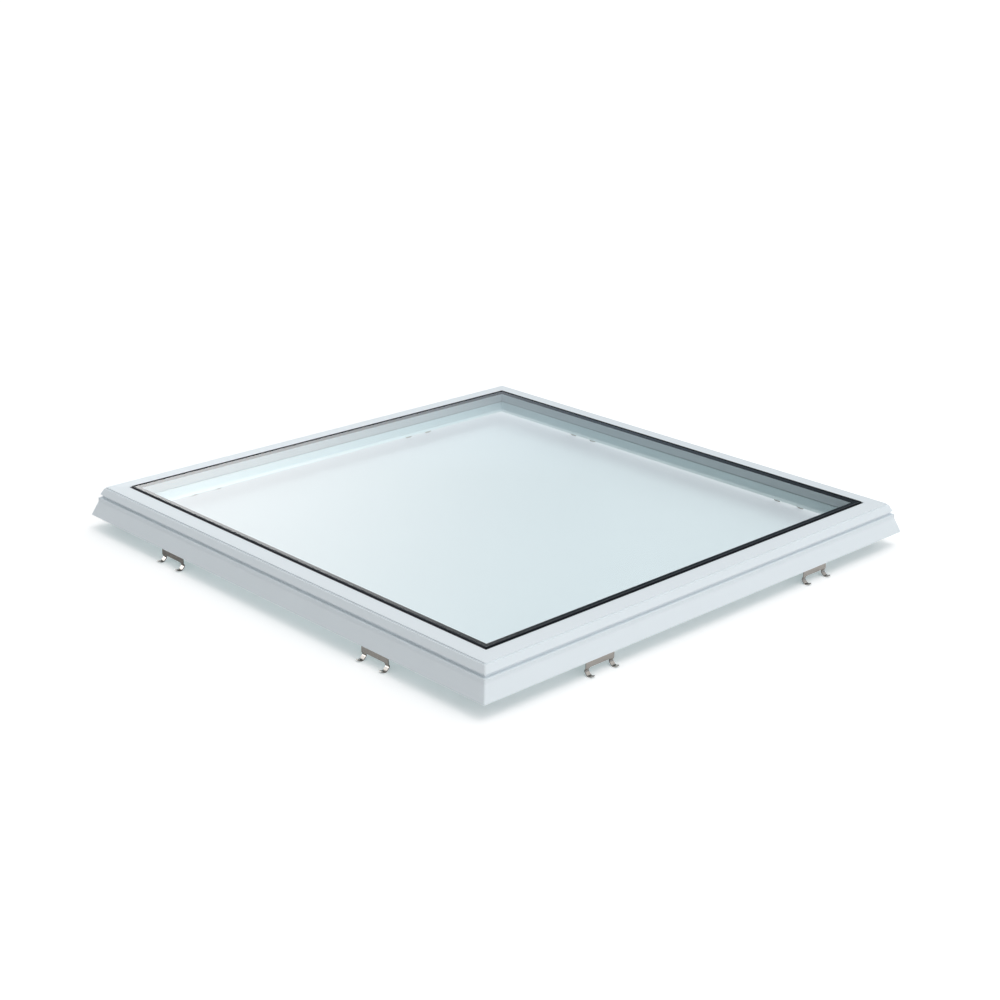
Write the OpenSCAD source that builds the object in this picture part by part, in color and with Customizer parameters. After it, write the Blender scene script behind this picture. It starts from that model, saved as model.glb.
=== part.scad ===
// Fixed flat rooflight: a square plastic frame with a double-glazed unit and spring clips for a roof kerb.
// Every frame section is drawn as [inset from the skirt's outer edge, height above the skirt's lower edge].

/* [Frame] */
// Size across the skirt's lower outer edges
frame_w = 1000; // [640:10:1600]
// Height from the skirt's lower edge to the top face
frame_h = 52.5; // [50:0.5:60]
// Depth of a frame bar from the skirt's outer edge to the daylight edge
bar_depth = 61; // [59:0.5:70]
// Thickness of the outer walls of a bar
bar_wall = 2.6; // [2.2:0.1:3]
// Thickness of the webs between the chambers of a bar
bar_web = 1.8; // [1.4:0.1:2.4]
// How far the inner leg stops above the skirt's lower edge
leg_lift = 3; // [0:0.5:5]
// Depth of the kerb channel from the skirt's lower edge to its ceiling
channel_h = 13; // [11:0.5:14]
// Height of the hollow flange between the kerb channel and the glass seat
flange_h = 10; // [8:0.1:11]
// Width of the seat that the glass overlaps
seat_w = 8; // [7:0.1:12]
// Rounding of the visible edges, measured back from the corner
edge_ease = 0.8; // [0.3:0.1:1]
// Rounding of the fine edges, measured back from the corner
fine_ease = 0.4; // [0.2:0.1:0.5]
// How far the sharp outer corner of each mitre is taken off
mitre_ease = 1.1; // [0.4:0.1:2]

/* [Skirt and groove] */
// How far the skirt flares out from its top to its lower edge
skirt_flare = 9.8; // [7:0.1:11]
// Thickness of the skirt at its lower edge
skirt_toe = 6.3; // [6:0.1:7.5]
// Height of the skirt's upright inner face, below the haunch to the kerb channel
haunch_h = 7; // [6.5:0.5:8]
// Height of the upright band above the flare
skirt_land = 6.5; // [4:0.5:9]
// Height of the shadow groove under the cap
groove_h = 4.8; // [3:0.1:6]
// Depth of the shadow groove behind the skirt's ledge
groove_d = 5.9; // [5:0.1:7]

/* [Glazing cap] */
// Height of the cap from its lip to the top face
cap_h = 15.4; // [14:0.1:17]
// Wall of the cap
cap_wall = 2.6; // [2.2:0.1:3]
// How far the lip stands back from the skirt's ledge
lip_set = 2.4; // [1.5:0.1:3]
// Height of the lip's edge
lip_edge = 1.2; // [1:0.1:2]
// Horizontal run of the sloped band
band_run = 5.6; // [5:0.1:7]
// How far the top of the sloped band lies below the top face
arris_drop = 3.4; // [3:0.1:3.6]
// Width of the small ledge at the arris
arris_ledge = 2.6; // [2:0.1:3]
// Fall of the top face from the glass to the arris
top_fall = 1; // [0.4:0.1:1.2]
// Space between the top of the base bar and the underside of the cap
cap_rise = 3.4; // [3:0.1:4]
// Thickness of the snap leg and of the cap's rest ribs
snap_leg = 2; // [1.6:0.1:2.4]
// How far each barb catches behind the edge of the snap slot
snap_catch = 0.5; // [0.3:0.1:0.8]
// Clear width of the snap chamber in the base bar
snap_room = 9; // [8:0.1:10]
// Clear height of the snap chamber in the base bar
snap_depth = 9; // [8:0.5:12]

/* [Glazing unit] */
// Thickness of the outer pane
outer_pane_t = 6; // [4:0.5:8]
// Thickness of the laminated inner pane
inner_pane_t = 6.4; // [4:0.2:8.8]
// How far the glass stands above the top face
pane_rise = 1.1; // [0.6:0.1:2]
// Width of the joint between the cap and the edge of the glass
joint_w = 4; // [3:0.1:5]
// Free width between the edge of the glass and the base bar
edge_gap = 6.5; // [6:0.1:8]
// Width of the hollow spacer bar
spacer_w = 6.5; // [5.5:0.1:8]
// Wall of the hollow spacer bar
spacer_wall = 0.6; // [0.4:0.1:1]
// Depth of the edge seal outside the spacer
seal_d = 5.3; // [4.5:0.1:8]
// Thickness of the butyl seal between the spacer and each pane
butyl_t = 0.4; // [0.3:0.1:0.6]
// Length of each leg of a corner key inside the spacer
key_leg = 25; // [15:1:40]

/* [Seals and blocks] */
// Thickness of the tape that the glass is bedded on
tape_t = 2; // [1.5:0.1:3]
// How far the tape lies in from the edge of the glass
tape_set = 0.5; // [0:0.1:1.5]
// How far the seat's lip stops below the glass
seat_lip_gap = 0.4; // [0.2:0.1:0.8]
// Thickness of the gasket's wing round the edge of the glass
gasket_wing = 0.6; // [0.5:0.1:1.2]
// How far the gasket laps over the glass
gasket_lap = 1.2; // [1:0.1:3]
// Thickness of the gasket's lap on the glass
gasket_lap_t = 1; // [0.6:0.1:1.4]
// How far the gasket's stem is sunk below the top face
gasket_sink = 0.8; // [0.6:0.1:1.5]
// Thickness of the gasket's hook under the cap
gasket_hook = 1.6; // [1.2:0.1:2]
// Width of the foam strip that meets the kerb
kerb_seal_w = 16; // [10:1:24]
// Thickness of the foam strip that meets the kerb
kerb_seal_t = 4; // [2:0.5:6]
// Length of a glazing block
block_l = 60; // [30:5:100]
// How far a glazing block stops below the top of the glass
block_drop = 12.8; // [9:0.1:16]
// Distance from the pane's corner to the middle of a glazing block
block_from_corner = 110; // [60:5:200]

/* [Fixing clips] */
// Thickness of the clip's spring sheet
sheet_t = 1.5; // [1:0.1:2]
// Distance from the frame's corner to the middle of a clip
clip_from_corner = 240; // [120:5:280]
// Distance between the middles of a clip's two legs
leg_pitch = 52.5; // [44:0.5:80]
// Width of a leg
leg_w = 8.3; // [6:0.1:12]
// How far the web hangs below the skirt's lower edge
web_drop = 13; // [10:0.5:16]
// Angle of the leg's inward lean
lean_deg = 40; // [20:1:45]
// Straight run of the inward lean
lean_run = 1; // [0.5:0.5:4]
// Angle of the leg's outward sweep below the nose
sweep_deg = 45; // [35:1:60]
// Straight run of the outward sweep
sweep_run = 4.5; // [2:0.5:8]
// Angle of the toe above level
toe_deg = 20; // [5:1:30]
// Length of the toe
toe_run = 6; // [5.5:0.5:10]
// Radius of the toe's corners
toe_corner = 2.6; // [1:0.1:2.9]
// Radius of the upper corners of the web
web_corner = 3; // [1:0.5:4]
// Bend radius at the web, to the middle of the sheet
web_bend_r = 2; // [1.5:0.5:4]
// Bend radius at the nose, to the middle of the sheet
nose_r = 3.5; // [2.5:0.5:6]
// Bend radius at the heel, to the middle of the sheet
heel_r = 4.5; // [3:0.5:8]

/* [Clip screws] */
// Distance between a clip's two screws
screw_pitch = 30; // [20:1:36]
// Diameter of the screw's shank
screw_d = 3.9; // [3:0.1:4.2]
// Length of the screw under its head
screw_l = 5; // [4.5:0.1:5.4]
// Diameter of the screw's head
screw_head_d = 7; // [6:0.1:7.5]
// Height of the screw's head
screw_head_h = 2.4; // [1.8:0.1:2.8]

/* [Clearances] */
// Space between the cap's sloped band and the base bar
cap_clear = 0.3; // [0.2:0.1:0.5]
// Space on each side of the snap leg in its slot
snap_clear = 0.5; // [0.3:0.1:0.8]
// Space round a gasket or block in its joint
joint_clear = 0.1; // [0.05:0.05:0.3]
// Space round a corner key inside the spacer
key_clear = 0.1; // [0.05:0.05:0.2]
// Space between the top of a clip's web and the haunch
web_clear = 0.3; // [0.2:0.1:0.6]
// Space round a screw in the clip's hole
screw_clear = 0.3; // [0.1:0.1:0.5]

/* [Hidden] */
$fn = 48;
cap_white = "whitesmoke";
base_white = "white";
rubber_black = "#262a2e";
glass_tint = [0.80, 0.90, 0.90, 0.35];
steel_grey = "silver";

// Sides are numbered by their quarter turn from +X
RIGHT = 0;
BACK = 1;
LEFT = 2;
FRONT = 3;

half = frame_w / 2;
ledge_h = frame_h - cap_h - groove_h;
groove_in = skirt_flare + groove_d;
pane_in = bar_depth - seat_w;
cap_reach = pane_in - joint_w;
upright_in = pane_in - edge_gap;
seat_h = channel_h + flange_h;
pane_bottom = seat_h + tape_t;
pane_top = frame_h + pane_rise;
// The cavity takes the height that the panes leave, so a lower frame holds a thinner unit
cavity_bottom = pane_bottom + inner_pane_t;
cavity_top = pane_top - outer_pane_t;
cavity = cavity_top - cavity_bottom;
cap_under = frame_h - cap_wall;
upright_h = cap_under - cap_rise;
spacer_low = cavity_bottom + butyl_t;
spacer_h = cavity - 2 * butyl_t;
spacer_out = pane_in + seal_d;
spacer_in = spacer_out + spacer_w;

// Sloped band of the cap, and the same line moved square to itself into the frame
band_low = [skirt_flare + lip_set, frame_h - cap_h + lip_edge];
band_high = [band_low.x + band_run, frame_h - arris_drop];
band_rise = band_high.y - band_low.y;
band_len = norm(band_high - band_low);
function band_at_height(depth, h) =
    band_low.x + (h - band_low.y) * band_run / band_rise + depth * band_len / band_rise;
function band_at_inset(depth, a) =
    band_low.y + (a - band_low.x) * band_rise / band_run - depth * band_len / band_run;
shoulder_depth = cap_wall + cap_clear;

// Flared face of the skirt, moved square to itself into the skirt
flare_h = ledge_h - skirt_land;
flare_len = norm([skirt_flare, flare_h]);
function flare_at_height(depth, h) = h * skirt_flare / flare_h + depth * flare_len / flare_h;
function flare_at_inset(depth, a) = a * flare_h / skirt_flare - depth * flare_len / skirt_flare;

// Snap joint between the cap and the base bar
snap_in = upright_in - bar_wall - snap_room / 2;
snap_floor = upright_h - bar_wall - snap_depth;
slot_half = snap_leg / 2 + snap_clear;
barb_half = slot_half + snap_catch;
barb_top = upright_h - bar_wall - snap_clear;

// Clip and screw places
web_in = skirt_toe + sheet_t / 2;
web_top = haunch_h - edge_ease - web_clear;
web_l = leg_pitch + leg_w;
screw_h = web_top / 2;
clip_y = half - clip_from_corner;

// Bends of a leg below the skirt's lower edge: each row is [straight run, bend angle, bend radius]
LEG_BENDS = [
    [web_drop, lean_deg, web_bend_r],
    [lean_run, -lean_deg - sweep_deg, nose_r],
    [sweep_run, sweep_deg - 90 - toe_deg, heel_r],
    [toe_run, 0, heel_r]
];

// Middle line of a leg as [inset, height, heading], where heading 0 is straight down and grows inwards
bend_step_deg = 7;
function after_run(pose, run) =
    [pose.x + run * sin(pose.z), pose.y - run * cos(pose.z), pose.z];
function after_bend(pose, angle, radius) =
    let (turned = pose.z + angle, reach = sign(angle) * radius)
    [pose.x + reach * (cos(pose.z) - cos(turned)), pose.y + reach * (sin(pose.z) - sin(turned)), turned];
function leg_path(rows, pose, i = 0) =
    i == len(rows) ? [] :
    let (
        start = after_run(pose, rows[i][0]),
        angle = rows[i][1],
        steps = ceil(abs(angle) / bend_step_deg),
        bend = [for (k = [1 : 1 : steps]) after_bend(start, angle * k / steps, rows[i][2])],
        end = steps > 0 ? bend[steps - 1] : start
    )
    concat([start], bend, leg_path(rows, end, i + 1));
web_end = [web_in, 0, 0];
LEG_PATH = concat([web_end], leg_path(LEG_BENDS, web_end));
toe_tip = LEG_PATH[len(LEG_PATH) - 1];
nose_in = max([for (p = LEG_PATH) p.x]) + sheet_t / 2;
heel_depth = max([for (p = LEG_PATH) abs(sin(p.z)) * sheet_t / 2 - p.y]);

// Turns a section drawn as [inset, height] to stand on the +X side, run along Y
module along_side(length) {
    translate([half, 0, heel_depth])
        mirror([1, 0, 0])
            rotate([90, 0, 0])
                linear_extrude(height = length, center = true)
                    children();
}

// Keeps the part of a +X side bar that lies between the two mitres
module mitred_bar(side) {
    rotate([0, 0, 90 * side])
        intersection() {
            along_side(frame_w) children();
            linear_extrude(height = heel_depth + 2 * frame_h)
                polygon([[0, 0], [half, half], [half, -half]]);
        }
}

// Solid behind a corner line drawn as [inset, height], on the diagonal at one end of a +X side bar
module corner_block(end, line) {
    outline = concat(line, [[frame_w, 2 * frame_h], [frame_w, -frame_h]]);
    rotate([0, 0, 45 * end])
        translate([sqrt(2) * half - mitre_ease, 0, heel_depth])
            mirror([1, 0, 0])
                rotate([90, 0, 0])
                    linear_extrude(height = 2 * frame_w, center = true)
                        polygon([for (p = outline) [sqrt(2) * p.x, p.y]]);
}

// Mitred bar with the sharp outer corner of both mitres taken off behind a corner line
module eased_bar(side, line) {
    rotate([0, 0, 90 * side])
        intersection() {
            mitred_bar(RIGHT) children();
            corner_block(1, line);
            corner_block(-1, line);
        }
}

// Short curve that replaces a corner of an outline
ease_steps = 3;
function eased_corner(before, corner, after, ease) =
    ease == 0 ? [corner] :
    let (
        start = corner + ease * (before - corner) / norm(before - corner),
        end = corner + ease * (after - corner) / norm(after - corner)
    )
    [
        for (i = [0 : ease_steps])
            let (t = i / ease_steps)
            (1 - t) * (1 - t) * start + 2 * t * (1 - t) * corner + t * t * end
    ];

// Outline from corners given as [inset, height, rounding]
function eased(corners) =
    let (n = len(corners), flat = [for (c = corners) [c.x, c.y]])
    [
        for (i = [0 : n - 1])
            each eased_corner(flat[(i + n - 1) % n], flat[i], flat[(i + 1) % n], corners[i].z)
    ];

// Upright block between two insets and two heights in a section
module section_box(low_in, high_in, low_h, high_h) {
    translate([low_in, low_h])
        square([high_in - low_in, high_h - low_h]);
}

// Outline of the base bar without its chambers
module base_outline() {
    polygon(eased([
        [0, 0, edge_ease],
        [skirt_flare, flare_h, 2 * edge_ease],
        [skirt_flare, ledge_h, edge_ease],
        [groove_in, ledge_h, 0],
        [groove_in, band_at_inset(shoulder_depth, groove_in), 0],
        [band_at_height(shoulder_depth, upright_h), upright_h, 0],
        [upright_in, upright_h, 0],
        [upright_in, seat_h, 0],
        [bar_depth - bar_wall, seat_h, 0],
        [bar_depth - bar_wall, pane_bottom - seat_lip_gap, fine_ease],
        [bar_depth, pane_bottom - seat_lip_gap, edge_ease],
        [bar_depth, leg_lift, edge_ease],
        [bar_depth - bar_wall, leg_lift, edge_ease],
        [bar_depth - bar_wall, channel_h, 0],
        [skirt_toe + channel_h - haunch_h, channel_h, 0],
        [skirt_toe, haunch_h, edge_ease],
        [skirt_toe, 0, edge_ease]
    ]));
}

// Hollow chambers of the base bar
module base_chambers() {
    floor_h = channel_h + bar_wall;
    roof_h = upright_h - bar_wall;
    inner_col = snap_in - snap_room / 2;
    outer_col_end = inner_col - bar_web;
    chamber_depth = shoulder_depth + bar_wall;
    upright_start = groove_in + bar_wall;

    // Chamber below the ledge
    polygon([
        [flare_at_height(bar_wall, floor_h), floor_h],
        [outer_col_end, floor_h],
        [outer_col_end, ledge_h - bar_wall],
        [skirt_flare + bar_wall, ledge_h - bar_wall],
        [skirt_flare + bar_wall, flare_at_inset(bar_wall, skirt_flare + bar_wall)]
    ]);
    // Chamber behind the shoulder
    polygon([
        [upright_start, ledge_h],
        [outer_col_end, ledge_h],
        [outer_col_end, roof_h],
        [band_at_height(chamber_depth, roof_h), roof_h],
        [upright_start, band_at_inset(chamber_depth, upright_start)]
    ]);
    // Chamber under the snap chamber
    section_box(inner_col, upright_in - bar_wall, floor_h, snap_floor - bar_web);
    // Snap chamber and its slot
    section_box(inner_col, upright_in - bar_wall, snap_floor, roof_h);
    section_box(snap_in - slot_half, snap_in + slot_half, roof_h - bar_web, upright_h + cap_rise);
    // Chamber under the glass seat
    section_box(upright_in, bar_depth - bar_wall, floor_h, seat_h - bar_wall);
}

// Cuts or shafts for the two screws of each clip on a side, pointing out through the skirt's inner wall
module at_screws(side) {
    for (clip = [-1, 1], screw = [-1, 1])
        rotate([0, 0, 90 * side])
            translate([half - skirt_toe, clip * clip_y + screw * screw_pitch / 2, heel_depth + screw_h])
                rotate([0, 90, 0])
                    children();
}

module base_frame(side) {
    corner_line = [[0, 0], [skirt_flare, flare_h], [skirt_flare, 2 * frame_h]];
    color(base_white)
        difference() {
            eased_bar(side, corner_line)
                difference() {
                    base_outline();
                    base_chambers();
                }
            at_screws(side)
                translate([0, 0, -sheet_t])
                    cylinder(d = screw_d, h = screw_l);
        }
}

module glazing_cap(side) {
    end_leg = upright_in - snap_leg;
    rib = band_at_height(0, frame_h) + 3 * snap_leg;
    knee_h = upright_h + cap_clear;
    lip_h = band_low.y - lip_edge;
    riser_in = band_high.x + arris_ledge;
    corner_line = [
        band_low,
        band_high,
        [band_high.x, band_high.y + fine_ease],
        [riser_in, band_high.y + fine_ease],
        [riser_in, 2 * frame_h]
    ];
    color(cap_white)
        eased_bar(side, corner_line)
            polygon(eased([
                [band_low.x + lip_edge / 2, lip_h, fine_ease],
                [band_low.x, band_low.y, fine_ease],
                [band_high.x, band_high.y, fine_ease],
                [riser_in, band_high.y, fine_ease],
                [riser_in, frame_h - top_fall, fine_ease],
                [cap_reach, frame_h, fine_ease],
                [cap_reach, cap_under, 0],
                [upright_in, cap_under, 0],
                [upright_in, upright_h, 0],
                [end_leg, upright_h, 0],
                [end_leg, cap_under, 0],
                [snap_in + snap_leg / 2, cap_under, 0],
                [snap_in + snap_leg / 2, barb_top, 0],
                [snap_in + barb_half, barb_top, 0],
                [snap_in + snap_leg / 4, snap_floor + snap_clear, 0],
                [snap_in - snap_leg / 4, snap_floor + snap_clear, 0],
                [snap_in - barb_half, barb_top, 0],
                [snap_in - snap_leg / 2, barb_top, 0],
                [snap_in - snap_leg / 2, cap_under, 0],
                [rib + snap_leg, cap_under, 0],
                [rib + snap_leg, upright_h, 0],
                [rib, upright_h, 0],
                [rib, cap_under, 0],
                [band_at_height(cap_wall, knee_h), knee_h, 0],
                [band_at_height(cap_wall, lip_h), lip_h, 0]
            ]));
}

module top_gasket(side) {
    stem_out = cap_reach + joint_clear;
    stem_in = pane_in - joint_clear;
    wing_out = stem_in - gasket_wing;
    stem_top = frame_h - gasket_sink;
    lap_in = pane_in + gasket_lap;
    lap_top = pane_top + gasket_lap_t;
    hook_out = upright_in + joint_clear;
    hook_top = cap_under - joint_clear;
    color(rubber_black)
        mitred_bar(side)
            polygon(eased([
                [stem_out, stem_top, 0],
                [wing_out, stem_top, 0],
                [wing_out, lap_top, fine_ease],
                [lap_in, lap_top, fine_ease],
                [lap_in, pane_top, 0],
                [stem_in, pane_top, 0],
                [stem_in, hook_top - gasket_hook, 0],
                [hook_out, hook_top - gasket_hook, 0],
                [hook_out, hook_top, 0],
                [stem_out, hook_top, 0]
            ]));
}

module seat_tape(side) {
    color("dimgray")
        mitred_bar(side)
            section_box(pane_in + tape_set, bar_depth - bar_wall, seat_h, pane_bottom);
}

module kerb_seal(side) {
    kerb_middle = (skirt_toe + bar_depth - bar_wall) / 2;
    color(rubber_black)
        mitred_bar(side)
            section_box(
                kerb_middle - kerb_seal_w / 2, kerb_middle + kerb_seal_w / 2,
                channel_h - kerb_seal_t, channel_h
            );
}

// Square pane centred on the frame
module pane(low_h, thickness) {
    size = frame_w - 2 * pane_in;
    translate([-size / 2, -size / 2, heel_depth + low_h])
        cube([size, size, thickness]);
}

module outer_pane() {
    color(glass_tint)
        pane(cavity_top, outer_pane_t);
}

module inner_pane() {
    color(glass_tint)
        pane(pane_bottom, inner_pane_t);
}

// Length of a spacer bar between the heads of two corner keys
spacer_l = frame_w - 2 * spacer_in;

module spacer_bar(side) {
    color("lightgray")
        rotate([0, 0, 90 * side])
            along_side(spacer_l)
                difference() {
                    section_box(spacer_out, spacer_in, spacer_low, spacer_low + spacer_h);
                    section_box(
                        spacer_out + spacer_wall, spacer_in - spacer_wall,
                        spacer_low + spacer_wall, spacer_low + spacer_h - spacer_wall
                    );
                }
}

// Leg of a corner key, or the fill between two of them, inside the spacer on the +X side
module inside_spacer(start_y, length) {
    inset = spacer_wall + key_clear;
    translate([half - spacer_in + inset, start_y, heel_depth + spacer_low + inset])
        cube([spacer_w - 2 * inset, length, spacer_h - 2 * inset]);
}

module spacer_corner_keys() {
    head = half - spacer_in;
    color("gray")
        for (side = [RIGHT, BACK, LEFT, FRONT])
            rotate([0, 0, 90 * side])
                union() {
                    translate([head, head, heel_depth + spacer_low])
                        cube([spacer_w, spacer_w, spacer_h]);
                    inside_spacer(head - key_leg, key_leg);
                    mirror([1, -1, 0])
                        inside_spacer(head - key_leg, key_leg);
                }
}

module desiccant_fill() {
    fill_l = spacer_l - 2 * key_leg;
    color("tan")
        for (side = [RIGHT, BACK, LEFT, FRONT])
            rotate([0, 0, 90 * side])
                inside_spacer(-fill_l / 2, fill_l);
}

// Square ring between two insets
module seal_ring(outer_in, inner_in, low_h, height) {
    translate([0, 0, heel_depth + low_h])
        linear_extrude(height = height)
            difference() {
                square(frame_w - 2 * outer_in, center = true);
                square(frame_w - 2 * inner_in, center = true);
            }
}

// Edge seal outside the spacer, with a butyl layer between the spacer and each pane
module edge_seal() {
    color(rubber_black)
        difference() {
            seal_ring(pane_in, spacer_in, cavity_bottom, cavity);
            seal_ring(spacer_out, spacer_in + spacer_w, spacer_low, spacer_h);
        }
}

module glazing_blocks() {
    block_y = half - pane_in - block_from_corner;
    color("dimgray")
        for (side = [RIGHT, BACK, LEFT, FRONT], end = [-1, 1])
            rotate([0, 0, 90 * side])
                translate([0, end * block_y, 0])
                    along_side(block_l)
                        section_box(
                            upright_in + joint_clear, pane_in - joint_clear,
                            seat_h, pane_top - block_drop
                        );
}

// Edge of a leg's sheet on either side of its middle line
module leg_outline() {
    across = [for (p = LEG_PATH) sheet_t / 2 * [cos(p.z), sin(p.z)]];
    last = len(LEG_PATH) - 1;
    polygon(concat(
        [for (i = [0 : last]) [LEG_PATH[i].x, LEG_PATH[i].y] + across[i]],
        [for (i = [last : -1 : 0]) [LEG_PATH[i].x, LEG_PATH[i].y] - across[i]]
    ));
}

// Plan of a leg with its toe at +X and the toe's corners rounded
module leg_plan() {
    length = nose_in + sheet_t - toe_tip.x;
    translate([-length, -leg_w / 2])
        square([length - toe_corner, leg_w]);
    translate([-2 * toe_corner, toe_corner - leg_w / 2])
        square([2 * toe_corner, leg_w - 2 * toe_corner]);
    for (end = [-1, 1])
        translate([-toe_corner, end * (leg_w / 2 - toe_corner)])
            circle(r = toe_corner);
}

module clip_leg() {
    intersection() {
        along_side(leg_w) leg_outline();
        translate([half - toe_tip.x, 0, 0])
            linear_extrude(height = heel_depth)
                leg_plan();
    }
}

// Flat of the web, drawn as [along the side, height], with rounded upper corners
module web_outline() {
    translate([-web_l / 2, -web_drop])
        square([web_l, web_drop + web_top - web_corner]);
    translate([web_corner - web_l / 2, 0])
        square([web_l - 2 * web_corner, web_top]);
    for (end = [-1, 1])
        translate([end * (web_l / 2 - web_corner), web_top - web_corner])
            circle(r = web_corner);
}

// One clip: a web on the inner face of the skirt and two sprung legs
module fixing_clip(side, end) {
    color(steel_grey)
        rotate([0, 0, 90 * side])
            difference() {
                translate([0, end * clip_y, 0])
                    union() {
                        translate([half - skirt_toe - sheet_t, 0, heel_depth])
                            rotate([90, 0, 90])
                                linear_extrude(height = sheet_t)
                                    web_outline();
                        for (leg = [-1, 1])
                            translate([0, leg * leg_pitch / 2, 0])
                                clip_leg();
                    }
                at_screws(RIGHT)
                    cylinder(d = screw_d + 2 * screw_clear, h = 4 * sheet_t, center = true);
            }
}

// Pan-head screw along +Z with its head below the plane of the clip's web
module clip_screw() {
    recess_w = screw_head_d / 7;
    recess_l = screw_head_d / 2;
    recess_d = screw_head_h / 2;
    dome_r = (screw_head_d * screw_head_d / 4 + screw_head_h * screw_head_h) / (2 * screw_head_h);
    translate([0, 0, -sheet_t]) {
        cylinder(d = screw_d, h = screw_l);
        difference() {
            intersection() {
                translate([0, 0, dome_r - screw_head_h])
                    sphere(r = dome_r);
                translate([0, 0, -screw_head_h])
                    cylinder(d = screw_head_d, h = screw_head_h);
            }
            for (turn = [0, 90])
                rotate([0, 0, turn])
                    translate([-recess_l / 2, -recess_w / 2, -2 * screw_head_h])
                        cube([recess_l, recess_w, screw_head_h + recess_d]);
        }
    }
}

module clip_screws() {
    color(steel_grey)
        for (side = [RIGHT, BACK, LEFT, FRONT])
            at_screws(side) clip_screw();
}

base_frame(FRONT);  // base_frame_front
base_frame(RIGHT);  // base_frame_right
base_frame(BACK);  // base_frame_back
base_frame(LEFT);  // base_frame_left
glazing_cap(FRONT);  // glazing_cap_front
glazing_cap(RIGHT);  // glazing_cap_right
glazing_cap(BACK);  // glazing_cap_back
glazing_cap(LEFT);  // glazing_cap_left
top_gasket(FRONT);  // top_gasket_front
top_gasket(RIGHT);  // top_gasket_right
top_gasket(BACK);  // top_gasket_back
top_gasket(LEFT);  // top_gasket_left
seat_tape(FRONT);  // seat_tape_front
seat_tape(RIGHT);  // seat_tape_right
seat_tape(BACK);  // seat_tape_back
seat_tape(LEFT);  // seat_tape_left
kerb_seal(FRONT);  // kerb_seal_front
kerb_seal(RIGHT);  // kerb_seal_right
kerb_seal(BACK);  // kerb_seal_back
kerb_seal(LEFT);  // kerb_seal_left
spacer_bar(FRONT);  // spacer_bar_front
spacer_bar(RIGHT);  // spacer_bar_right
spacer_bar(BACK);  // spacer_bar_back
spacer_bar(LEFT);  // spacer_bar_left
spacer_corner_keys();
desiccant_fill();
edge_seal();
outer_pane();
inner_pane();
glazing_blocks();
fixing_clip(FRONT, -1);  // fixing_clip_front_a
fixing_clip(FRONT, 1);  // fixing_clip_front_b
fixing_clip(RIGHT, -1);  // fixing_clip_right_a
fixing_clip(RIGHT, 1);  // fixing_clip_right_b
fixing_clip(BACK, -1);  // fixing_clip_back_a
fixing_clip(BACK, 1);  // fixing_clip_back_b
fixing_clip(LEFT, -1);  // fixing_clip_left_a
fixing_clip(LEFT, 1);  // fixing_clip_left_b
clip_screws();
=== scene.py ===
"""Looks of the fixed flat rooflight: finishes, floor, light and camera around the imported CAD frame."""

import math

import bpy
from mathutils import Matrix, Vector


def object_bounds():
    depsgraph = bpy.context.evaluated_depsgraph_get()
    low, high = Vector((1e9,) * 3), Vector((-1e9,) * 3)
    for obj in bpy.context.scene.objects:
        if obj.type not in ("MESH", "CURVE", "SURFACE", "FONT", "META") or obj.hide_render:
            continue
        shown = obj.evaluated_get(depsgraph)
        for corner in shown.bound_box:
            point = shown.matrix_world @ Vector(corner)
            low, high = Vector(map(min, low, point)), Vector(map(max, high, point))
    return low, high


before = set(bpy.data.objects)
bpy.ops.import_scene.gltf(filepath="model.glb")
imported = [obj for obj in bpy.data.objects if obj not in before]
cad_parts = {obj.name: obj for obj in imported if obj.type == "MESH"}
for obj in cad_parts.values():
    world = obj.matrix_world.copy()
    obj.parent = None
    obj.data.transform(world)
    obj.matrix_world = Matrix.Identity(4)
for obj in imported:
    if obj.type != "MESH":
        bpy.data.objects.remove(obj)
cad_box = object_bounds()
scene = bpy.context.scene
scene.view_settings.view_transform = "Standard"


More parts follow.
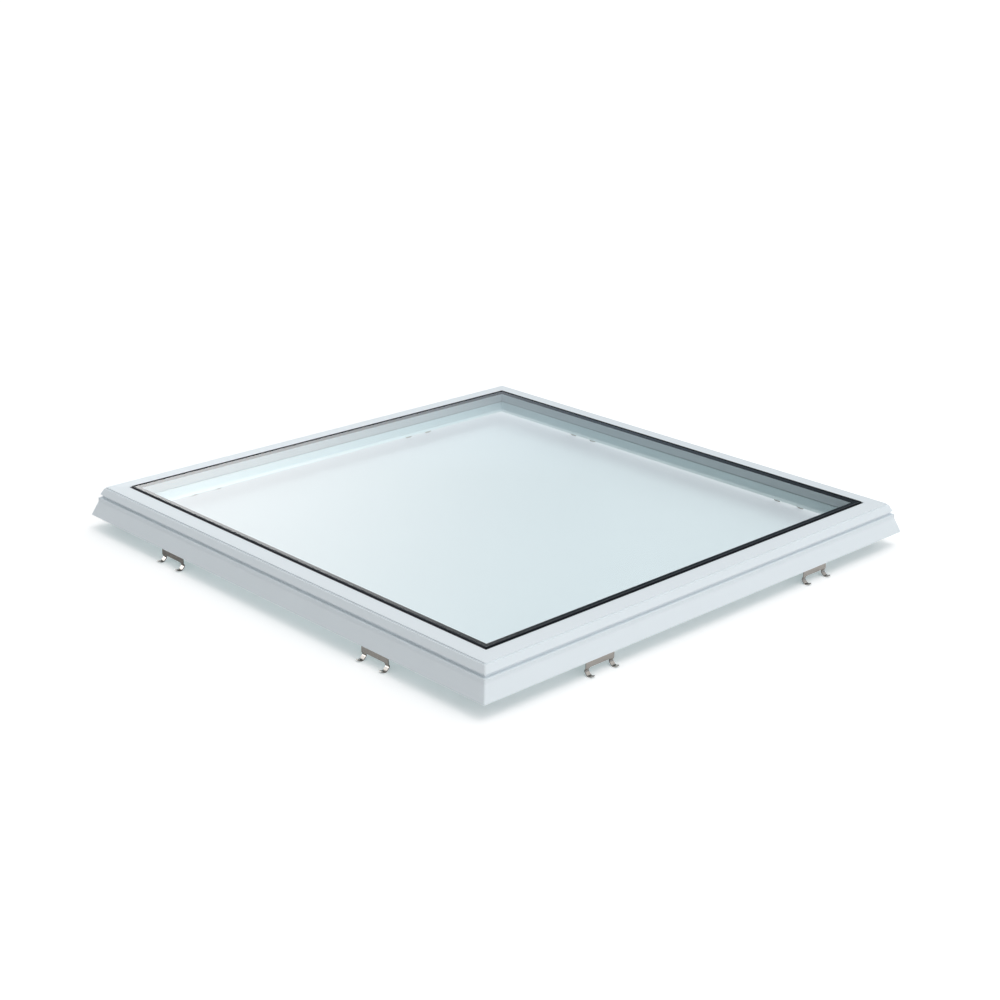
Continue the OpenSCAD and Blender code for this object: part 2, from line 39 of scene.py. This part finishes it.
# Node helpers
class Nodes:
    """The node tree of a material or a world, with short calls to add nodes and links."""

    NOISE_ROUGHNESS = 0.55

    def __init__(self, owner):
        owner.use_nodes = True
        self.owner = owner
        self.tree = owner.node_tree
        self.tree.nodes.clear()

    def node(self, kind, **settings):
        made = self.tree.nodes.new("ShaderNode" + kind)
        for name, value in settings.items():
            setattr(made, name, value)
        return made

    def fill(self, socket, value):
        """Links a socket to an output, or sets its value."""
        if isinstance(value, bpy.types.NodeSocket):
            self.tree.links.new(value, socket)
        else:
            socket.default_value = value

    def feed(self, node, **inputs):
        """Fills inputs by name, with _ for a space."""
        for name, value in inputs.items():
            self.fill(node.inputs[name.replace("_", " ")], value)
        return node

    def chain(self, kind, *values, output=0, **settings):
        """Adds a node, fills its inputs in order and gives one output."""
        made = self.node(kind, **settings)
        for socket, value in zip(made.inputs, values):
            self.fill(socket, value)
        return made.outputs[output]

    def math(self, operation, first, second):
        return self.chain("Math", first, second, operation=operation)

    def dot(self, vector, axis):
        """How far a vector reaches along an axis."""
        return self.chain("VectorMath", vector, axis, output="Value", operation="DOT_PRODUCT")

    def mix(self, share, first, second):
        """The first shader where share is 0, the second where it is 1."""
        return self.chain("MixShader", share, first, second)

    def add(self, first, second):
        return self.chain("AddShader", first, second)

    def position(self, stretch=(1, 1, 1)):
        """Object coordinates in metres, stretched."""
        place = self.node("TexCoord").outputs["Object"]
        return self.feed(self.node("Mapping"), Vector=place, Scale=stretch).outputs["Vector"]

    def noise(self, vector, scale, detail):
        made = self.node("TexNoise")
        self.feed(made, Vector=vector, Scale=scale, Detail=detail, Roughness=self.NOISE_ROUGHNESS)
        return made.outputs["Fac"]

    def span(self, value, low, high, first, last, smooth=False):
        """Maps low..high of a value to first..last."""
        made = self.node("MapRange", interpolation_type="SMOOTHSTEP" if smooth else "LINEAR")
        self.feed(made, Value=value, From_Min=low, From_Max=high, To_Min=first, To_Max=last)
        return made.outputs["Result"]

    def blend(self, share, first, second):
        """Mixes two colours or outputs by share."""
        made = self.node("Mix", data_type="RGBA")
        self.fill(made.inputs[0], share)
        colours = (socket for socket in made.inputs if socket.type == "RGBA")
        for socket, value in zip(colours, (first, second)):
            self.fill(socket, value if isinstance(value, bpy.types.NodeSocket) else (*value, 1))
        return next(output for output in made.outputs if output.type == "RGBA")

    def ramp(self, share, low, high):
        """Maps 0..1 to low..high."""
        return self.span(share, 0.0, 1.0, low, high)

    def bump(self, height, strength, distance):
        made = self.feed(self.node("Bump"), Height=height, Strength=strength, Distance=distance)
        return made.outputs["Normal"]

    def end(self, shader):
        """Links the finished shader and gives the material or world."""
        kind = "OutputWorld" if isinstance(self.owner, bpy.types.World) else "OutputMaterial"
        self.feed(self.node(kind), Surface=shader)
        return self.owner


def shades(tone, deep, pale):
    """A darker and a paler shade of a tone."""
    return [c * deep for c in tone], [c * pale for c in tone]


def drawn(along, fine, coarse):
    """A stretch that draws noise out into lines along an axis."""
    stretch = [fine, fine, fine]
    stretch[along] = coarse
    return stretch


# Materials
PVC_IOR = 1.53
PVC_SPECULAR = 0.02
RUBBER_SPECULAR = 0.3
GLASS_IOR = 1.5


def pvc(name, along, tone, gloss):
    """Extruded plastic with faint die lines along the bar."""
    s = Nodes(bpy.data.materials.new(name))
    lines = s.noise(s.position(drawn(along, fine=260.0, coarse=0.8)), scale=1.0, detail=3.0)
    cloud = s.noise(s.position(), scale=9.0, detail=3.0)
    grain = s.noise(s.position(), scale=2600.0, detail=2.0)
    mixed = s.math("ADD", s.math("MULTIPLY", lines, 0.5), s.math("MULTIPLY", cloud, 0.5))
    relief = s.math("ADD", lines, s.math("MULTIPLY", grain, 0.35))
    bsdf = s.feed(
        s.node("BsdfPrincipled"),
        Base_Color=s.blend(mixed, *shades(tone, deep=0.985, pale=1.012)),
        Roughness=s.ramp(mixed, gloss - 0.05, gloss + 0.06),
        Normal=s.bump(relief, strength=0.08, distance=0.0002),
        IOR=PVC_IOR,
        Specular_IOR_Level=PVC_SPECULAR,
    )
    return s.end(bsdf.outputs["BSDF"])


def rubber(name, tone, rough, grain_scale, along=None):
    """Rubber or foam with a fine grain and a dusty bloom, streaked along an extruded length."""
    s = Nodes(bpy.data.materials.new(name))
    stretch = (1, 1, 1) if along is None else drawn(along, fine=3.0, coarse=0.02)
    streak = s.noise(s.position(stretch), scale=160.0, detail=3.0)
    grain = s.noise(s.position(), scale=grain_scale, detail=3.0)
    bsdf = s.feed(
        s.node("BsdfPrincipled"),
        Base_Color=s.blend(streak, *shades(tone, deep=0.8, pale=1.25)),
        Roughness=s.ramp(grain, rough - 0.06, rough + 0.08),
        Normal=s.bump(grain, strength=0.12, distance=0.0002),
        Specular_IOR_Level=RUBBER_SPECULAR,
    )
    return s.end(bsdf.outputs["BSDF"])


def metal(name, tone, rough, stretch, scale, bare=1.0):
    """Rolled sheet or drawn bar with streaks along the rolling direction."""
    s = Nodes(bpy.data.materials.new(name))
    streak = s.noise(s.position(stretch), scale=scale, detail=4.0)
    cloud = s.noise(s.position(), scale=60.0, detail=2.0)
    mixed = s.math("ADD", s.math("MULTIPLY", streak, 0.6), s.math("MULTIPLY", cloud, 0.4))
    bsdf = s.feed(
        s.node("BsdfPrincipled"),
        Base_Color=s.blend(streak, *shades(tone, deep=0.88, pale=1.06)),
        Roughness=s.ramp(mixed, rough - 0.08, rough + 0.1),
        Normal=s.bump(streak, strength=0.12, distance=0.0001),
        Metallic=bare,
    )
    return s.end(bsdf.outputs["BSDF"])


def glass(name, tint):
    """Float glass that bends the view, mirrors on its upper face and lets lamp light through."""
    s = Nodes(bpy.data.materials.new(name))
    film = s.noise(s.position(), scale=7.0, detail=5.0)
    face_tint = [math.sqrt(c) for c in tint]
    colour = s.blend(film, *shades(face_tint, deep=0.997, pale=1.0))
    bend = s.feed(s.node("BsdfRefraction"), Color=colour, Roughness=0.0, IOR=GLASS_IOR)
    shine = s.feed(s.node("BsdfGlossy"), Color=(1, 1, 1, 1), Roughness=s.ramp(film, 0.0, 0.02))
    face = s.node("NewGeometry").outputs
    level = s.feed(s.node("SeparateXYZ"), Vector=face["True Normal"]).outputs["Z"]
    upper = s.math("GREATER_THAN", level, 0.5)
    outside = s.math("SUBTRACT", 1.0, face["Backfacing"])
    fresnel = s.feed(s.node("Fresnel"), IOR=GLASS_IOR).outputs[0]
    share = s.math("MULTIPLY", fresnel, s.math("MULTIPLY", upper, outside))
    body = s.mix(share, bend.outputs["BSDF"], shine.outputs["BSDF"])
    clear = s.feed(s.node("BsdfTransparent"), Color=(*tint, 1))
    path = s.node("LightPath").outputs
    lighting = s.math("MAXIMUM", path["Is Shadow Ray"], path["Is Diffuse Ray"])
    return s.end(s.mix(lighting, body, clear.outputs["BSDF"]))


# Finish of each node, by its name without the side
WHITE = (0.765, 0.828, 0.868)
BLACK_RUBBER = (0.010, 0.014, 0.019)
ALUMINIUM = (0.59, 0.62, 0.65)
PANE_TINT = (0.95, 0.985, 0.985)
X_AXIS, Y_AXIS = 0, 1
ALONG = {"front": X_AXIS, "back": X_AXIS, "right": Y_AXIS, "left": Y_AXIS}

finish = {}
for axis, letter in ((X_AXIS, "x"), (Y_AXIS, "y")):
    finish["base_frame", axis] = pvc("base_plastic_" + letter, axis, WHITE, gloss=0.36)
    finish["glazing_cap", axis] = pvc("cap_plastic_" + letter, axis, WHITE, gloss=0.33)
    finish["top_gasket", axis] = rubber(
        "gasket_rubber_" + letter, BLACK_RUBBER, rough=0.45, grain_scale=1500, along=axis
    )
    finish["spacer_bar", axis] = metal(
        "spacer_aluminium_" + letter,
        ALUMINIUM,
        rough=0.5,
        stretch=drawn(axis, fine=400, coarse=3),
        scale=2.0,
        bare=0.45,
    )
finish["seat_tape"] = rubber("tape_rubber", (0.05, 0.055, 0.06), rough=0.6, grain_scale=1200)
finish["kerb_seal"] = rubber("kerb_foam", (0.03, 0.032, 0.035), rough=0.85, grain_scale=700)
finish["edge_seal"] = rubber("seal_rubber", (0.005, 0.007, 0.009), rough=0.6, grain_scale=900)
finish["spacer_corner_keys"] = pvc("key_plastic", X_AXIS, (0.28, 0.29, 0.30), gloss=0.5)
finish["desiccant_fill"] = rubber("desiccant", (0.55, 0.48, 0.38), rough=0.9, grain_scale=900)
finish["glazing_blocks"] = pvc("block_plastic", X_AXIS, (0.12, 0.13, 0.14), gloss=0.5)
finish["outer_pane"] = glass("outer_glass", PANE_TINT)
finish["inner_pane"] = glass("inner_glass", PANE_TINT)
finish["fixing_clip"] = metal(
    "clip_steel", (0.54, 0.51, 0.475), rough=0.24, stretch=(300, 300, 20), scale=3.0
)
finish["clip_screws"] = metal(
    "screw_steel", (0.62, 0.61, 0.59), rough=0.28, stretch=(200, 200, 200), scale=3.0
)


def finish_of(node):
    for side, axis in ALONG.items():
        stem = node.removesuffix("_" + side)
        if stem != node and (stem, axis) in finish:
            return finish[stem, axis]
    return next(m for stem, m in finish.items() if isinstance(stem, str) and node.startswith(stem))


for name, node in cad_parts.items():
    node.data.materials.clear()
    node.data.materials.append(finish_of(name))


# The photograph's view, and the direction that runs to the right across it
AZIMUTH, ELEVATION, ROLL = (math.radians(a) for a in (45.715, 20.020, 0.968))
ACROSS = (math.cos(AZIMUTH), math.sin(AZIMUTH), 0)

# Floor: pale paper, white outside the shadow. Where the glass shows it, and in what shiny parts mirror,
# it is darker to the left by painted shade, and through the glass it has a painted glow that grows to
# the right
FLOOR_HALF = 20.0
PLAIN_PAPER = (0.88, 0.90)
SEEN_PAPER = (0.92, 0.86, 0.86)
SEEN_GLOW = 0.30
SEEN_CAST = (0.80, 1.0, 1.02)
# Ends, across the view, of a painted light pool: painted shade at the left end, painted light at the
# right end
PAINTED_SHADE_END, PAINTED_LIGHT_END = -0.9, 0.25
# Through the glass: the paper grey with painted shade to the left, and a painted glow that grows to the
# right
THROUGH_PAPER_PAINTED_SHADE = (0.12, 0.50)
THROUGH_PAINTED_GLOW = (0.22, 0.47)
THROUGH_CAST = (0.97, 1.0, 1.09)
# Mirrored in the glass and other shiny parts: the paper grey with painted shade to the left
MIRRORED_PAPER_PAINTED_SHADE = (0.22, 0.75)


def floor_material():
    """Paper with one tone seen straight, one through the glass and one mirrored in it; the last two
    carry painted shade to the left, and through the glass a painted glow.
    """
    s = Nodes(bpy.data.materials.new("floor_paper"))
    path = s.node("LightPath").outputs
    straight, through = path["Is Camera Ray"], path["Is Transmission Ray"]
    mirrored = s.math("SUBTRACT", path["Is Glossy Ray"], through)
    fibre = s.noise(s.position(), scale=40.0, detail=2.0)
    # Painted light pool across the view: 0 at the left, 1 at the right
    painted_light_pool = s.span(s.dot(s.position(), ACROSS), PAINTED_SHADE_END, PAINTED_LIGHT_END, 0.0, 1.0, smooth=True)
    paper_and_painted_shade = s.blend(straight, s.ramp(fibre, *PLAIN_PAPER), SEEN_PAPER)
    # Through the glass the paper grey follows the painted light pool: painted shade to the left
    paper_and_painted_shade = s.blend(through, paper_and_painted_shade, s.ramp(painted_light_pool, *THROUGH_PAPER_PAINTED_SHADE))
    # Mirrored, the paper grey follows the painted light pool too: painted shade to the left
    paper_and_painted_shade = s.blend(mirrored, paper_and_painted_shade, s.ramp(painted_light_pool, *MIRRORED_PAPER_PAINTED_SHADE))
    diffuse = s.feed(s.node("BsdfDiffuse"), Color=paper_and_painted_shade)
    # Painted glow on the floor seen through the glass, growing to the right; straight on, an even glow
    # keeps the paper white
    glow = s.math("MULTIPLY", through, s.ramp(painted_light_pool, *THROUGH_PAINTED_GLOW))
    glow = s.math("ADD", glow, s.math("MULTIPLY", straight, SEEN_GLOW))
    cast = s.blend(straight, THROUGH_CAST, SEEN_CAST)
    light = s.feed(s.node("Emission"), Color=cast, Strength=glow)
    return s.end(s.add(diffuse.outputs["BSDF"], light.outputs["Emission"]))


floor_mesh = bpy.data.meshes.new("floor")
corners = [(-1, -1), (1, -1), (1, 1), (-1, 1)]
floor_mesh.from_pydata([(x * FLOOR_HALF, y * FLOOR_HALF, 0) for x, y in corners], [], [(0, 1, 2, 3)])
floor_mesh.materials.append(floor_material())
floor = bpy.data.objects.new("floor", floor_mesh)
scene.collection.objects.link(floor)

# Camera, placed from the middle of the frame's top face, which lies below the gasket's top
EYE_BACK, EYE_RIGHT, EYE_UP = 3.0555136, 0.0086927, -0.0098187
GASKET_RISE = 0.0021
SENSOR = 36.0
FOCAL = 1.761 * SENSOR
HALF_PIXEL = 0.0005

back = Vector(
    (
        math.sin(AZIMUTH) * math.cos(ELEVATION),
        -math.cos(AZIMUTH) * math.cos(ELEVATION),
        math.sin(ELEVATION),
    )
)
right = Vector(ACROSS)
up = back.cross(right)
turned_right = math.cos(ROLL) * right + math.sin(ROLL) * up
turned_up = math.cos(ROLL) * up - math.sin(ROLL) * right
top_middle = Vector((0, 0, cad_box[1][2] - GASKET_RISE))
eye = top_middle + EYE_BACK * back + EYE_RIGHT * right + EYE_UP * up
lens = bpy.data.cameras.new("camera")
lens.sensor_width = SENSOR
lens.lens = FOCAL
lens.shift_x = -HALF_PIXEL
lens.shift_y = HALF_PIXEL
camera = bpy.data.objects.new("camera", lens)
turn = Matrix((turned_right, turned_up, back)).transposed().to_4x4()
camera.matrix_world = Matrix.Translation(eye) @ turn
scene.collection.objects.link(camera)
scene.camera = camera

# Lamps: a soft one overhead and a low soft one on the right, which the glass doesn't mirror
LAMP_SPREAD = math.radians(40)


def soft_lamp(name, towards, share):
    """A broad lamp in a direction, with its level as a share of white on a facing surface."""
    lamp = bpy.data.lights.new(name, "SUN")
    lamp.energy = math.pi * share
    lamp.angle = LAMP_SPREAD
    placed = bpy.data.objects.new(name, lamp)
    placed.rotation_euler = Vector(towards).to_track_quat("Z", "Y").to_euler()
    placed.visible_glossy = False
    placed.visible_transmission = False
    scene.collection.objects.link(placed)


soft_lamp("overhead", towards=(0.25, 0.10, 0.96), share=0.225)
soft_lamp("side", towards=(0.90, -0.30, 0.22), share=0.205)

# Surround: pale, brighter above and behind, and white to the camera
ALL_ROUND, FROM_ABOVE, FROM_BEHIND = 0.15, 0.51, 0.80
world = bpy.data.worlds.new("studio")
scene.world = world
sky = Nodes(world)
direction = sky.node("TexCoord").outputs["Generated"]
axes = sky.feed(sky.node("SeparateXYZ"), Vector=direction).outputs
path = sky.node("LightPath").outputs


def surround(strength, colour=(1, 1, 1)):
    return sky.feed(sky.node("Background"), Color=(*colour, 1), Strength=strength).outputs[0]


def facing(axis, most):
    """Light from one side, strongest along an axis."""
    return surround(sky.math("MAXIMUM", axes[axis], 0.0), (most, most, most))


ambient = sky.add(surround(ALL_ROUND), sky.add(facing("Z", FROM_ABOVE), facing("Y", FROM_BEHIND)))

# What the outer pane mirrors: bright on the left, faint and cool elsewhere, white high up
LEFT_EDGE, LEFT_END, LEFT_LEVEL = -0.25, 0.06, 3.25
COOL = (0.80, 1.0, 1.2)
COOL_HEIGHTS, COOL_LEVELS = (0.30, 0.33), (0.40, 0.15)
WHITE_HEIGHTS = (0.42, 0.60)
left = sky.span(sky.dot(direction, ACROSS), LEFT_EDGE, LEFT_END, LEFT_LEVEL, 0.0, smooth=True)
low = sky.span(axes["Z"], *COOL_HEIGHTS, *COOL_LEVELS)
high = sky.span(axes["Z"], *WHITE_HEIGHTS, 0.0, 1.0)
outer = sky.mix(high, sky.add(surround(left), surround(low, COOL)), surround(1.0))

# What the inner pane mirrors, up through the outer one
INNER_LEVEL = 1.2
mirrored = sky.mix(path["Is Transmission Ray"], outer, surround(INNER_LEVEL))
by_glass = sky.math("MAXIMUM", path["Is Glossy Ray"], path["Is Transmission Ray"])
lit = sky.mix(by_glass, ambient, mirrored)
sky.end(sky.mix(path["Is Camera Ray"], lit, surround(1.0)))
